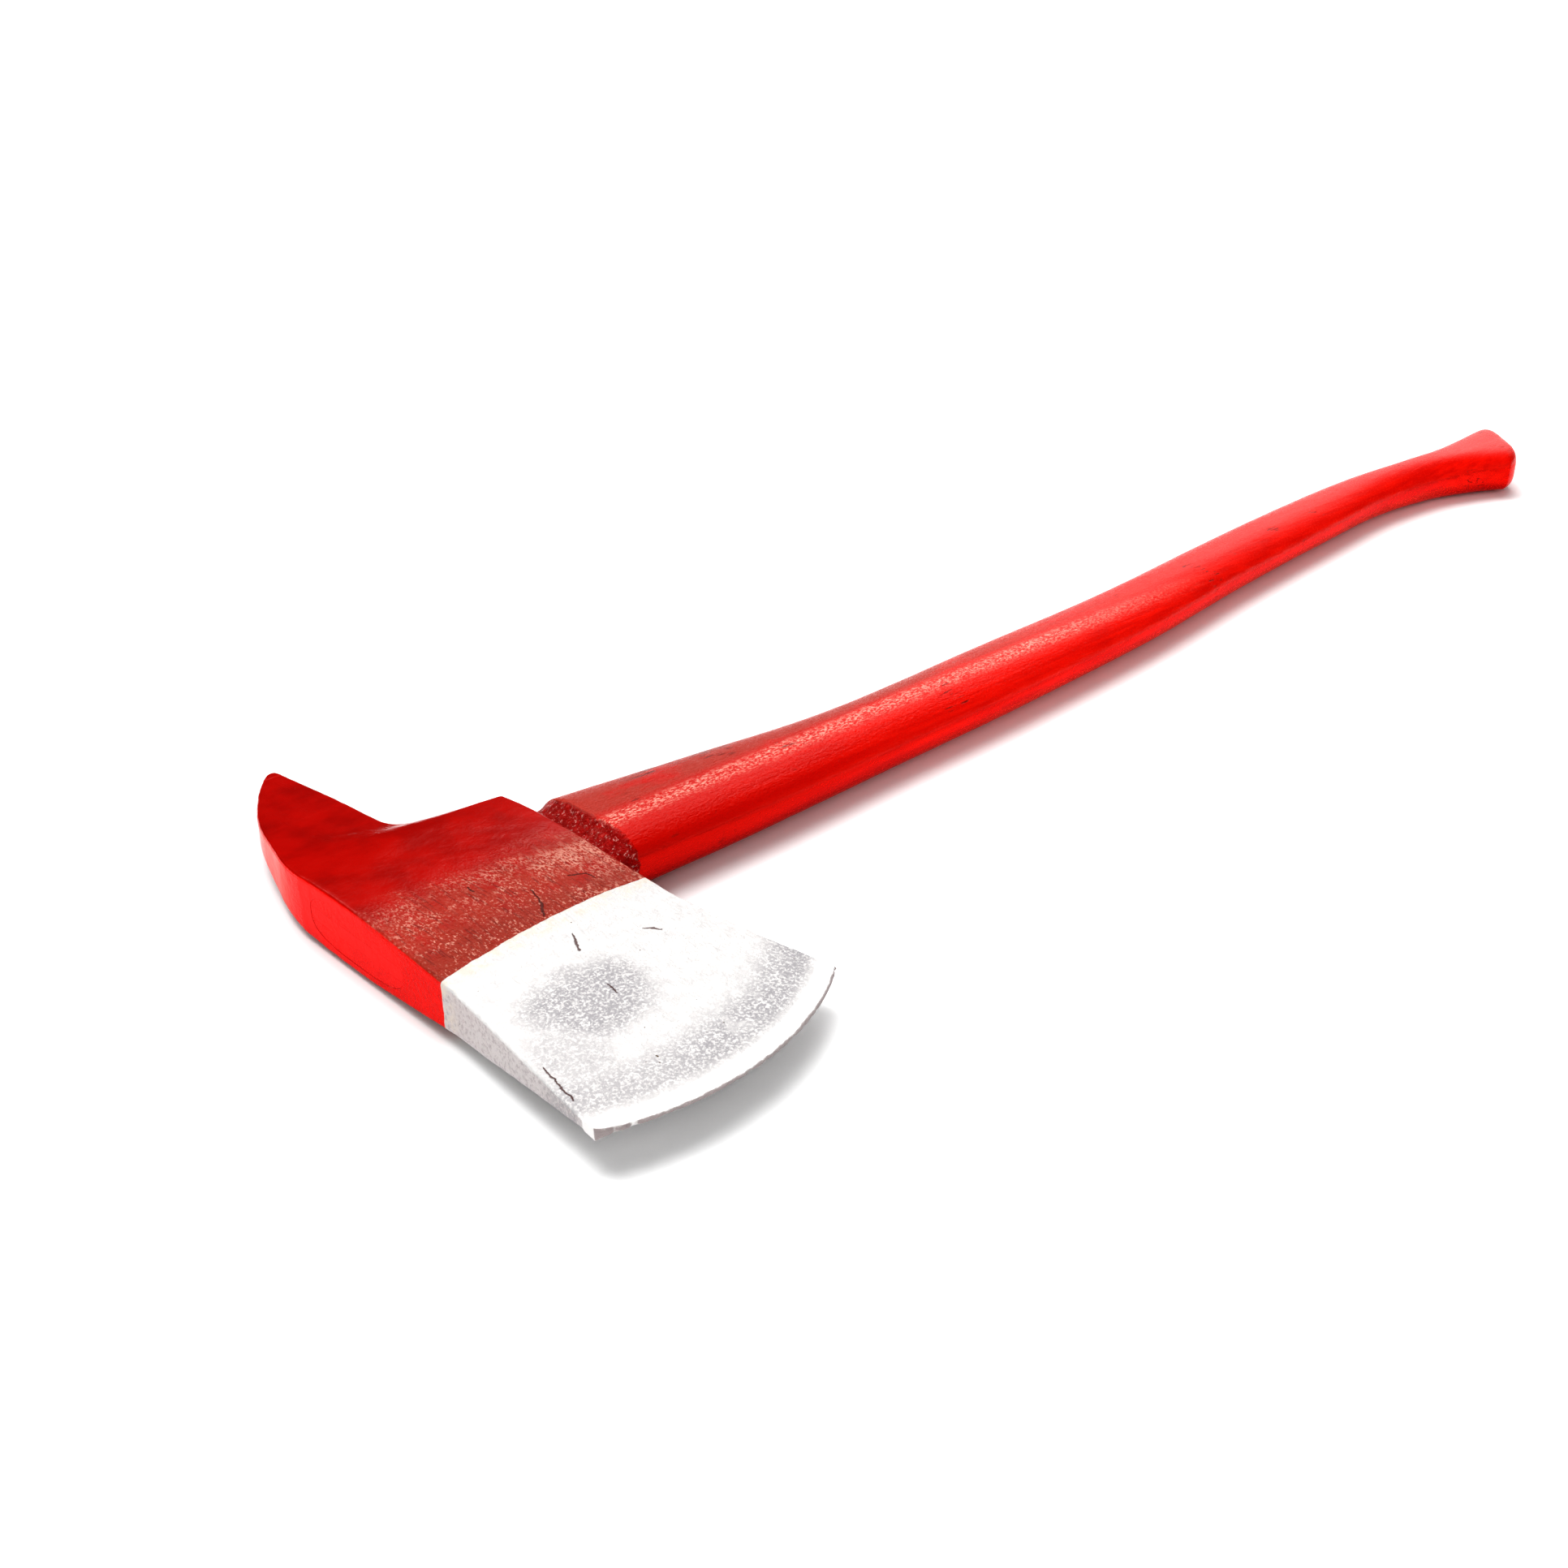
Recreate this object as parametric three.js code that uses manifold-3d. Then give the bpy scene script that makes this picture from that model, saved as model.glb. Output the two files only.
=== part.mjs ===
// Pick-head fire axe lying on its cheek: forged head, curved wooden handle and the wedges that lock them.
// Millimetres. +X runs from the head to the knob, +Y is the pick side, -Y the bit side, +Z is up.
// While the pieces are made, x = 0 is the face of the head that the handle leaves,
// and y = 0 is near the middle of the eye.
import * as THREE from 'three';
import { ParametricGeometry } from 'three/addons/geometries/ParametricGeometry.js';
import { mergeVertices } from 'three/addons/utils/BufferGeometryUtils.js';
import Module from 'manifold-3d';

const wasm = await Module();
wasm.setup();

// Fits
const FIT_GAP = 0.3;
const EYE_THICKNESS = 28.8;
const MID_Z = EYE_THICKNESS / 2;

// Bit: the cutting edge is an arc, and the cheeks taper away from it
const EDGE_CENTRE = new THREE.Vector2(-58, -29.5);
const EDGE_RADIUS = 124.4;
const TOE_ANGLE = THREE.MathUtils.degToRad(-22.4);
const HEEL_ANGLE = THREE.MathUtils.degToRad(35.4);
const EDGE_THICKNESS = 1.2;
const BEVEL_WIDTH = 7;
const BIT_LENGTH = 138;
const BIT_POWER = 0.75;

// Head body and pick
const BODY_THICKNESS = 26.6;
const CROWN = 3.6;
const CROWN_RISE_Y = [-95, -35];
const CROWN_FALL_Y = [35, 80];
const BIT_END_Y = -60;
const CORNER_Y = 41;
const PICK_START_Y = 62;
const PICK_FULL_Y = 30;
const PICK_TAPER = 0.19;
const TIP = new THREE.Vector2(-46, 143.8);

// Eye and tongue
const EYE_Y = 2.5;
const EYE_MOUTH = { halfDepth: 29.5, halfThickness: 8.6 };
const EYE_TOP = { halfDepth: 31, halfThickness: 9.6 };
const EYE_SQUARENESS = 3;
const TONGUE_END_X = -94;

// Handle, from the shoulder to the knob
const SHOULDER_START_X = 0.6;
const HANDLE_STATIONS = [
  { x: 13, y: 1.8, halfDepth: 30, halfThickness: 14.2, squareness: 3, slant: 0 },
  { x: 80, y: -2.7, halfDepth: 27.4, halfThickness: 14.2, squareness: 2.5, slant: 0 },
  { x: 160, y: -6.2, halfDepth: 22.3, halfThickness: 14.1, squareness: 2.2, slant: 0 },
  { x: 260, y: -4, halfDepth: 23.2, halfThickness: 13.8, squareness: 2.15, slant: 0 },
  { x: 370, y: 0, halfDepth: 22.1, halfThickness: 13.2, squareness: 2.1, slant: 0 },
  { x: 480, y: 9.8, halfDepth: 20.5, halfThickness: 12.8, squareness: 2.1, slant: 0 },
  { x: 590, y: 17, halfDepth: 19.5, halfThickness: 12.8, squareness: 2.1, slant: 0 },
  { x: 660, y: 18.8, halfDepth: 17, halfThickness: 13.2, squareness: 2.1, slant: 0 },
  { x: 720, y: 13.5, halfDepth: 16.3, halfThickness: 13.9, squareness: 2.15, slant: 0.15 },
  { x: 760, y: 6.4, halfDepth: 19.4, halfThickness: 14.2, squareness: 2.6, slant: 0.4 },
  { x: 804, y: 0.8, halfDepth: 25.3, halfThickness: 14.2, squareness: 4.2, slant: 1.1 },
];
const KNOB_DOME = 20;

// Wedges driven into the tongue
const KERF_DEPTH = 64;
const KERF_MOUTH = 5.4;
const KERF_TIP = 1.6;
const STEEL_WEDGE = { length: 30, width: 12, mouth: 3.6, tip: 1 };
const STEEL_WEDGE_Y = [-11, 16];

// Mesh density
const CHEEK_STEPS = 12;
const HANDLE_SIDES = 24;
const HANDLE_STEPS = 46;
const DOME_STEPS = 4;
const CUT_OVERRUN = 21;
const WELD_DISTANCE = 1e-4;

const TWO_PI = 2 * Math.PI;
const { lerp, smoothstep } = THREE.MathUtils;

const RED_PAINT = 0xc01008;
const BARE_WOOD = 0xc9a46b;
const BARE_STEEL = 0x8c8f94;

// A closed skin over a list of rings of equal length. The end rings are flat or shrunk to a point.
function loft(rings) {
  const sides = rings[0].length;
  const spans = rings.length - 1;
  const surface = (u, v, target) => {
    const ring = rings[Math.round(v * spans)];
    target.copy(ring[Math.round(u * sides) % sides]);
  };
  return new ParametricGeometry(surface, sides, spans);
}

function withoutCollapsedTriangles(index) {
  const kept = [];
  for (let i = 0; i < index.length; i += 3) {
    const [a, b, c] = index.slice(i, i + 3);
    if (a !== b && b !== c && c !== a) kept.push(a, b, c);
  }
  return Uint32Array.from(kept);
}

function toSolid(geometry) {
  const bare = geometry.clone();
  bare.deleteAttribute('normal');
  bare.deleteAttribute('uv');
  const merged = mergeVertices(bare, WELD_DISTANCE);
  const vertProperties = Float32Array.from(merged.attributes.position.array);
  const triVerts = withoutCollapsedTriangles(merged.index.array);
  return new wasm.Manifold(new wasm.Mesh({ numProp: 3, vertProperties, triVerts }));
}

function toGeometry(solid) {
  const { vertProperties, triVerts } = solid.getMesh();
  const geometry = new THREE.BufferGeometry();
  geometry.setAttribute('position', new THREE.BufferAttribute(vertProperties, 3));
  geometry.setIndex(new THREE.BufferAttribute(triVerts, 1));
  geometry.computeVertexNormals();
  return geometry;
}

function toMesh(name, solid, { color, roughness, metalness }) {
  const material = new THREE.MeshStandardMaterial({ color, roughness, metalness });
  const mesh = new THREE.Mesh(toGeometry(solid), material);
  mesh.name = name;
  return mesh;
}

// ---------------------------------------------------------------- head

function edgePoint(angle) {
  const x = EDGE_CENTRE.x + EDGE_RADIUS * Math.sin(angle);
  const y = EDGE_CENTRE.y - EDGE_RADIUS * Math.cos(angle);
  return new THREE.Vector2(x, y);
}

function smoothMin(a, b) {
  return -Math.log(Math.exp(-a) + Math.exp(-b));
}

function bitThickness(fromEdge) {
  return BODY_THICKNESS * (fromEdge / BIT_LENGTH) ** BIT_POWER;
}

// Full thickness between the cheeks at a plan point.
// across runs from 0 at the top face to 1 at the handle face.
function headThickness(point, across) {
  const fromEdge = point.distanceTo(edgePoint(lerp(TOE_ANGLE, HEEL_ANGLE, across)));
  if (fromEdge < BEVEL_WIDTH) {
    return lerp(EDGE_THICKNESS, bitThickness(BEVEL_WIDTH), fromEdge / BEVEL_WIDTH);
  }
  const pickThickness = BODY_THICKNESS - PICK_TAPER * (point.y - PICK_FULL_Y);
  const tapered = smoothMin(Math.min(bitThickness(fromEdge), pickThickness), BODY_THICKNESS);
  const nearEye = smoothstep(point.y, ...CROWN_RISE_Y) * (1 - smoothstep(point.y, ...CROWN_FALL_Y));
  return Math.min(tapered + CROWN * nearEye * Math.sin(Math.PI * across), EYE_THICKNESS);
}

// The plan of the head as matching curves: the top face on the left, the handle face on the right
function headSpans() {
  const toe = edgePoint(TOE_ANGLE);
  const heel = edgePoint(HEEL_ANGLE);
  const v = (x, y) => new THREE.Vector2(x, y);
  const bit = {
    left: new THREE.LineCurve(toe, v(-97, BIT_END_Y)),
    right: new THREE.QuadraticBezierCurve(heel, v(3.5, -90), v(0, BIT_END_Y)),
    steps: 12,
  };
  const eye = {
    left: new THREE.LineCurve(v(-97, BIT_END_Y), v(-94, CORNER_Y)),
    right: new THREE.LineCurve(v(0, BIT_END_Y), v(0, CORNER_Y)),
    steps: 8,
  };
  const crook = {
    left: new THREE.QuadraticBezierCurve(v(-94, CORNER_Y), v(-92.8, 53), v(-89, 65)),
    right: new THREE.CubicBezierCurve(v(0, CORNER_Y), v(-40, 47), v(-45.4, 46), v(-45.4, PICK_START_Y)),
    steps: 10,
  };
  const pick = {
    left: new THREE.SplineCurve([v(-89, 65), v(-77.5, 99), v(-62.5, 126), v(-50.5, 141.5), TIP]),
    right: new THREE.SplineCurve([v(-45.4, PICK_START_Y), v(-43.8, 99), v(-43.6, 126), v(-44, 141.5), TIP]),
    steps: 16,
  };
  return [bit, eye, crook, pick];
}

function headRows() {
  const rows = [];
  headSpans().forEach((span, order) => {
    const first = order === 0 ? 0 : 1;
    for (let step = first; step <= span.steps; step += 1) {
      const along = step / span.steps;
      const bulge = order === 0 ? 1 - along : 0;
      rows.push({ left: span.left.getPoint(along), right: span.right.getPoint(along), bulge });
    }
  });
  return rows;
}

// A point across a row; the rows of the bit carry part of the cutting edge's arc
function planPoint(row, across) {
  const point = row.left.clone().lerp(row.right, across);
  if (row.bulge > 0) {
    const toe = edgePoint(TOE_ANGLE);
    const heel = edgePoint(HEEL_ANGLE);
    const onArc = edgePoint(lerp(TOE_ANGLE, HEEL_ANGLE, across));
    point.add(onArc.sub(toe.lerp(heel, across)).multiplyScalar(row.bulge));
  }
  return point;
}

function headRing(row, scale = 1) {
  const over = [];
  const under = [];
  for (let step = 0; step <= CHEEK_STEPS; step += 1) {
    const across = step / CHEEK_STEPS;
    const point = planPoint(row, across);
    const half = (scale * headThickness(point, across)) / 2;
    over.push(new THREE.Vector3(point.x, point.y, MID_Z + half));
    under.push(new THREE.Vector3(point.x, point.y, MID_Z - half));
  }
  return [...over, ...under.reverse()];
}

function axeHead() {
  const rows = headRows();
  const middleOfEdge = headRing(rows[0], 0);
  const blank = toSolid(loft([middleOfEdge, ...rows.map((row) => headRing(row))]));
  return blank.subtract(eyeSolid(FIT_GAP, TONGUE_END_X - CUT_OVERRUN, CUT_OVERRUN));
}

// ---------------------------------------------------------------- eye, tongue and handle

// A ring round the handle's axis; slant leans it so that its +Y side reaches further along the handle
function superellipseRing({ x, y, halfDepth, halfThickness, squareness, slant = 0 }, scale = 1) {
  const ring = [];
  for (let side = 0; side < HANDLE_SIDES; side += 1) {
    const angle = (side / HANDLE_SIDES) * TWO_PI;
    const c = Math.cos(angle);
    const s = Math.sin(angle);
    const power = 2 / squareness;
    const depth = halfDepth * scale * Math.sign(c) * Math.abs(c) ** power;
    const thickness = halfThickness * scale * Math.sign(s) * Math.abs(s) ** power;
    ring.push(new THREE.Vector3(x + slant * depth, y + depth, MID_Z + thickness));
  }
  return ring;
}

// The eye's section at x, wider at the head's top face than at its mouth
function eyeSection(x, grow) {
  const along = x / TONGUE_END_X;
  return {
    x,
    y: EYE_Y,
    halfDepth: lerp(EYE_MOUTH.halfDepth, EYE_TOP.halfDepth, along) + grow,
    halfThickness: lerp(EYE_MOUTH.halfThickness, EYE_TOP.halfThickness, along) + grow,
    squareness: EYE_SQUARENESS,
  };
}

function eyeSolid(grow, fromX, toX) {
  const start = eyeSection(fromX, grow);
  const end = eyeSection(toX, grow);
  const walls = [superellipseRing(start), superellipseRing(end)];
  return toSolid(loft([superellipseRing(start, 0), ...walls, superellipseRing(end, 0)]));
}

function throughStations(pick) {
  return new THREE.CatmullRomCurve3(HANDLE_STATIONS.map(pick), false, 'catmullrom', 0.5);
}

function handleSections() {
  const places = throughStations((s) => new THREE.Vector3(s.x, s.y, s.slant));
  const sizes = throughStations((s) => new THREE.Vector3(s.halfDepth, s.halfThickness, s.squareness));
  const sections = [];
  for (let step = 0; step <= HANDLE_STEPS; step += 1) {
    const place = places.getPoint(step / HANDLE_STEPS);
    const size = sizes.getPoint(step / HANDLE_STEPS);
    sections.push({
      x: place.x,
      y: place.y,
      slant: place.z,
      halfDepth: size.x,
      halfThickness: size.y,
      squareness: size.z,
    });
  }
  return sections;
}

function domeRings(last) {
  const rings = [];
  for (let step = 1; step <= DOME_STEPS; step += 1) {
    const angle = (step / DOME_STEPS) * (Math.PI / 2);
    const section = { ...last, x: last.x + KNOB_DOME * Math.sin(angle) };
    rings.push(superellipseRing(section, Math.sqrt(Math.cos(angle))));
  }
  return rings;
}

function handleBlank() {
  const end = eyeSection(TONGUE_END_X, 0);
  const mouth = { ...eyeSection(0, 0), x: SHOULDER_START_X };
  const sections = handleSections();
  const rings = [
    superellipseRing(end, 0),
    superellipseRing(end),
    superellipseRing(mouth),
    ...sections.map((section) => superellipseRing(section)),
    ...domeRings(sections[sections.length - 1]),
  ];
  return toSolid(loft(rings));
}

// ---------------------------------------------------------------- wedges

// A flat wedge's side view: it starts at the tongue's end and narrows towards the handle.
// overrun carries its wide end past the tongue's end, for a clean cut.
function wedgeProfile(length, mouth, tip, overrun) {
  const shape = new THREE.Shape();
  const slope = (mouth - tip) / 2 / length;
  const outer = mouth / 2 + slope * overrun;
  shape.moveTo(-overrun, -outer);
  shape.lineTo(length, -tip / 2);
  shape.lineTo(length, tip / 2);
  shape.lineTo(-overrun, outer);
  shape.closePath();
  return shape;
}

function kerfSolid(grow, overrun) {
  const profile = wedgeProfile(KERF_DEPTH + grow, KERF_MOUTH + 2 * grow, KERF_TIP + 2 * grow, overrun);
  const width = 2 * (EYE_TOP.halfDepth + CUT_OVERRUN);
  const geometry = new THREE.ExtrudeGeometry(profile, { depth: width, bevelEnabled: false });
  geometry.rotateX(Math.PI / 2);
  geometry.translate(TONGUE_END_X, EYE_Y + width / 2, MID_Z);
  return toSolid(geometry);
}

function steelWedgeSolid(y, grow, overrun) {
  const { length, width, mouth, tip } = STEEL_WEDGE;
  const profile = wedgeProfile(length + grow, mouth + 2 * grow, tip + 2 * grow, overrun);
  const depth = width + 2 * grow;
  const geometry = new THREE.ExtrudeGeometry(profile, { depth, bevelEnabled: false });
  geometry.translate(TONGUE_END_X, y, MID_Z - depth / 2);
  return toSolid(geometry);
}

function withoutSteelWedges(solid) {
  return STEEL_WEDGE_Y.reduce((rest, y) => rest.subtract(steelWedgeSolid(y, FIT_GAP, CUT_OVERRUN)), solid);
}

function handle() {
  return withoutSteelWedges(handleBlank().subtract(kerfSolid(FIT_GAP, CUT_OVERRUN)));
}

function woodenWedge() {
  const withinEye = eyeSolid(0, TONGUE_END_X, 0);
  return withoutSteelWedges(kerfSolid(0, 0).intersect(withinEye));
}

// ---------------------------------------------------------------- assembly

function axe() {
  const paint = { color: RED_PAINT, roughness: 0.35, metalness: 0 };
  const wood = { color: BARE_WOOD, roughness: 0.7, metalness: 0 };
  const steel = { color: BARE_STEEL, roughness: 0.4, metalness: 1 };
  const group = new THREE.Group();
  group.add(toMesh('axe_head', axeHead(), paint));
  group.add(toMesh('handle', handle(), paint));
  group.add(toMesh('wooden_wedge', woodenWedge(), wood));
  STEEL_WEDGE_Y.forEach((y, order) => {
    group.add(toMesh(`steel_wedge_${order + 1}`, steelWedgeSolid(y, 0, 0), steel));
  });
  return group;
}

// The origin goes to the middle of the bounding box's underside
function onItsOrigin(group) {
  const box = new THREE.Box3().setFromObject(group);
  const centre = box.getCenter(new THREE.Vector3());
  group.position.set(-centre.x, -centre.y, -box.min.z);
  return group;
}

export default onItsOrigin(axe());
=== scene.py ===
import math
import random

import bpy
import numpy as np
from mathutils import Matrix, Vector, noise


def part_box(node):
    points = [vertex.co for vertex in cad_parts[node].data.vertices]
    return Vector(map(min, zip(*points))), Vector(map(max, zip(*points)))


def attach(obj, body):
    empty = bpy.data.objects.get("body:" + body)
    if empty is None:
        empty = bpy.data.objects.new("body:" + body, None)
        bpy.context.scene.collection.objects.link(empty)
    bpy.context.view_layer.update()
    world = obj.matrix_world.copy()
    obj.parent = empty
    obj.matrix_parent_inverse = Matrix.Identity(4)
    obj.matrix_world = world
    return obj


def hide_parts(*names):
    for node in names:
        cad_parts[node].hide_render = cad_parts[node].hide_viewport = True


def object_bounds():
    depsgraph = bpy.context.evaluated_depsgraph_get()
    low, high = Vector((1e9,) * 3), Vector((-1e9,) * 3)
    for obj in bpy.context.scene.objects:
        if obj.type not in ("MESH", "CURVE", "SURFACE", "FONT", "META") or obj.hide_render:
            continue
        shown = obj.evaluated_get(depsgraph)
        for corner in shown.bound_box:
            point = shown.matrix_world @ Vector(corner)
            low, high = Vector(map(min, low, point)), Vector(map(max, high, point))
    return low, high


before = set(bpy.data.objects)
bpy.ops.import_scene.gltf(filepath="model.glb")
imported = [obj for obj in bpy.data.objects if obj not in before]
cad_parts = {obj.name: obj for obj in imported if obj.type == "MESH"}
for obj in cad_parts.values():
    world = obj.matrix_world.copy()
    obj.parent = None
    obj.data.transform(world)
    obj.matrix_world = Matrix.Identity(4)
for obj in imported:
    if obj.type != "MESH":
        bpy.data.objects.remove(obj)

# ---------------------------------------------------------------- frame and units
# Shapes are worked out in millimetres in the head's own frame: x = 0 is the face that the handle
# leaves, y = 0 is near the middle of the eye, z = 0 is the plane halfway between the cheeks.

MM = 0.001
CAD_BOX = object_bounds()

EDGE_CENTRE = np.array([-58.0, -29.5])
EDGE_RADIUS = 124.4
TOE_ANGLE = math.radians(-22.4)
HEEL_ANGLE = math.radians(35.4)
TIP = (-46.0, 143.8)


def edge_point(angle):
    return EDGE_CENTRE + EDGE_RADIUS * np.array([math.sin(angle), -math.cos(angle)])


TOE = edge_point(TOE_ANGLE)
HEEL = edge_point(HEEL_ANGLE)
EDGE_WIDTH = abs(HEEL[0] - TOE[0])
HEAD_LOW, HEAD_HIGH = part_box("axe_head")
ORIGIN = np.array([
    HEAD_LOW.x / MM - TOE[0],
    HEAD_HIGH.y / MM - TIP[1],
    (HEAD_LOW.z + HEAD_HIGH.z) / 2 / MM,
])
HALF_THICKEST = (HEAD_HIGH.z - HEAD_LOW.z) / 2 / MM

# ---------------------------------------------------------------- driving dimensions

BEVEL_WIDTH = 7.0
BEVEL_EDGE = 1.1
TOE_BLUNTNESS = 3.4
TOE_BLUNT_LENGTH = 5.0
EDGE_ROUND = 0.45
EDGE_SQUASH = 0.35
NICK_REACH = 5.0
BIT_LENGTH = 138.0
BIT_POWER = 0.75
BODY_THICKNESS = 26.6
CROWN = 3.6
CROWN_RISE_Y = (-95.0, -35.0)
CROWN_FALL_Y = (35.0, 80.0)
BIT_END_Y = -60.0
CORNER_Y = 41.0
PICK_FULL_Y = 30.0
PICK_TAPER = 0.19
PICK_LAST = 0.985
RIDGE_RADIUS = 1.3
RIDGE_WEAR = 0.25
HEAD_STEP = 1.25
CHEEK_COLUMNS = 84
CORNER_COLUMNS = 4
SIDE_COLUMNS = 9

# Shallow waves of forging and filing: depth and size. They begin where half the head's thickness
# passes FORGED_ABOVE, and the cheek sits inside its outline there by FORGED_INSET.
FORGING_WAVES = ((0.16, 26), (0.07, 7))
FORGED_INSET = 0.2
FORGED_ABOVE = 3

EYE_Y = 2.5
EYE_MOUTH = (29.5, 8.6)
EYE_TOP = (31.0, 9.6)
EYE_SQUARENESS = 3.0
EYE_CUT_X = (25.0, -125.0)
TOP_FACE = ((-97.0, BIT_END_Y), (-94.0, CORNER_Y))
PAINTED_GAP = 0.06
TONGUE_PROUD = 0.08
TONGUE_STEPS = 30

# Wedges driven into the tongue's end: their reach, and their thickness at the mouth and at the tip
KERF = {"length": 64.0, "mouth": 5.4, "tip": 1.6}
KERF_MARGIN = 6.0
STEEL_WEDGE = {"length": 30.0, "mouth": 3.6, "tip": 1.0}
STEEL_WEDGE_WIDTH = 12.0
STEEL_WEDGE_Y = (-11.0, 16.0)
WEDGE_OVERRUN = 20

SHOULDER_X = (0.6, 13.0)
SHOULDER_STEPS = 14
CHOP_DEPTH = 2.4
CHOP_SIZE = 4.0
CHOP_LAST = 0.95
KNOB_DOME = 16.0
KNOB_ROUNDNESS = 0.24
KNOB_STEPS = 16
HANDLE_SIDES = 80
HANDLE_STEP = 2.4
# x, y, half depth, half thickness, squareness of the section, slant of the section
HANDLE_STATIONS = (
    (13, 1.8, 30, 14.2, 3.0, 0),
    (80, -2.7, 27.4, 14.2, 2.5, 0),
    (160, -6.2, 22.3, 14.1, 2.2, 0),
    (260, -4, 23.2, 13.8, 2.15, 0),
    (370, 0, 22.1, 13.2, 2.1, 0),
    (480, 9.8, 20.5, 12.8, 2.1, 0),
    (590, 17, 19.5, 12.8, 2.1, 0),
    (660, 18.8, 17, 13.2, 2.1, 0),
    (720, 13.5, 16.3, 13.9, 2.15, 0.15),
    (760, 6.4, 19.4, 14.2, 2.6, 0.4),
    (804, 1.4, 26.2, 14.2, 3.6, 1.1),
)

# Waves of the spokeshave: depth, length along the grain, size across it, shift of the pattern
SHAVED_WAVES = ((0.35, 70, 9, 5), (0.16, 9, 3, 0))

SHARP_ANGLE = 40
WEDGE_SHARP_ANGLE = 30

# ---------------------------------------------------------------- small helpers


def smoothstep(value, low, high):
    share = min(max((value - low) / (high - low), 0.0), 1.0)
    return share * share * (3 - 2 * share)


def lerp(a, b, share):
    return a + (b - a) * share


def bezier(points, share):
    """A Bezier curve of any order through de Casteljau's halving."""
    row = [np.array(p, float) for p in points]
    while len(row) > 1:
        row = [lerp(a, b, share) for a, b in zip(row, row[1:])]
    return row[0]


def catmull_rom(points, share):
    """A curve through all the points, evenly shared between them."""
    pts = np.array(points, float)
    last = len(pts) - 1
    index = min(int(share * last), last - 1)
    t = share * last - index
    before = pts[index - 1] if index > 0 else 2 * pts[0] - pts[1]
    after = pts[index + 2] if index + 2 <= last else 2 * pts[last] - pts[last - 1]
    a, b = pts[index], pts[index + 1]
    start = (b - before) / 2
    end = (after - a) / 2
    return (
        (2 * t**3 - 3 * t**2 + 1) * a
        + (t**3 - 2 * t**2 + t) * start
        + (3 * t**2 - 2 * t**3) * b
        + (t**3 - t**2) * end
    )


def wobble(x, y, z, size):
    """Smooth noise of about -1 to 1 with features of that size in millimetres."""
    return noise.noise(Vector((x, y, z)) / size)


def to_part(point):
    return tuple((np.array(point, float) + ORIGIN) * MM)


def side_faces(rows, sides):
    """The quads between neighbouring rings."""
    faces = []
    for row in range(rows - 1):
        for side in range(sides):
            a = row * sides + side
            b = row * sides + (side + 1) % sides
            faces.append((a, b, b + sides, a + sides))
    return faces


def closed_loft(name, rings, mirrored_caps):
    """A closed skin over rings of equal length.

    Each end is capped with quads across its mirrored points, or with triangles to its middle.
    """
    sides = len(rings[0])
    verts = [to_part(p) for ring in rings for p in ring]
    faces = side_faces(len(rings), sides)
    for first, flip in ((0, True), ((len(rings) - 1) * sides, False)):
        if mirrored_caps:
            caps = [
                (first + k, first + k + 1, first + sides - 2 - k, first + sides - 1 - k)
                for k in range(sides // 2 - 1)
            ]
        else:
            middle = len(verts)
            verts.append(tuple(np.mean(verts[first:first + sides], axis=0)))
            caps = [(first + k, first + (k + 1) % sides, middle) for k in range(sides)]
        faces += [cap[::-1] if flip else cap for cap in caps]
    mesh = bpy.data.meshes.new(name)
    mesh.from_pydata(verts, [], faces)
    obj = bpy.data.objects.new(name, mesh)
    bpy.context.scene.collection.objects.link(obj)
    facing_out(obj)
    return obj


def facing_out(obj):
    bpy.context.view_layer.objects.active = obj
    obj.select_set(True)
    bpy.ops.object.mode_set(mode="EDIT")
    bpy.ops.mesh.select_all(action="SELECT")
    bpy.ops.mesh.normals_make_consistent(inside=False)
    bpy.ops.object.mode_set(mode="OBJECT")
    obj.select_set(False)


def cut(obj, tools, operation="DIFFERENCE"):
    """Applies a boolean with each tool in turn, and removes the tools."""
    for tool in tools:
        step = obj.modifiers.new("cut", "BOOLEAN")
        step.operation = operation
        step.solver = "EXACT"
        step.object = tool
        bpy.context.view_layer.update()
        evaluated = obj.evaluated_get(bpy.context.evaluated_depsgraph_get())
        result = bpy.data.meshes.new_from_object(evaluated)
        obj.modifiers.clear()
        obj.data = result
        bpy.data.objects.remove(tool)


def keep_inside_cad(obj):
    """Moves the points that stand past the CAD model's box back onto it."""
    low, high = CAD_BOX
    for vertex in obj.data.vertices:
        vertex.co = [min(max(value, a), b) for value, a, b in zip(vertex.co, low, high)]


def smooth_shaded(obj, sharp_degrees):
    keep_inside_cad(obj)
    obj.data.shade_smooth()
    obj.data.set_sharp_from_angle(angle=math.radians(sharp_degrees))


# ---------------------------------------------------------------- head


def pick_curve(points, share):
    """A side of the pick, ended just short of the tip."""
    return catmull_rom(points, share * PICK_LAST)


# The head's outline from the edge to the pick's tip. Each stretch has its length, its kind of curve,
# and that curve's points down the top face and down the handle face.
OUTLINE = (
    (100, bezier, (TOE, TOP_FACE[0]), (HEEL, (3.5, -90), (0, BIT_END_Y))),
    (101, bezier, TOP_FACE, ((0, BIT_END_Y), (0, CORNER_Y))),
    (62, bezier, (TOP_FACE[1], (-92.8, 53), (-89, 65)),
     ((0, CORNER_Y), (-40, 47), (-45.4, 46), (-45.4, 62))),
    (92, pick_curve, ((-89, 65), (-77.5, 99), (-62.5, 126), (-50.5, 141.5), TIP),
     ((-45.4, 62), (-43.8, 99), (-43.6, 126), (-44, 141.5), TIP)),
)


def bit_thickness(from_edge):
    return BODY_THICKNESS * (from_edge / BIT_LENGTH) ** BIT_POWER


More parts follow.
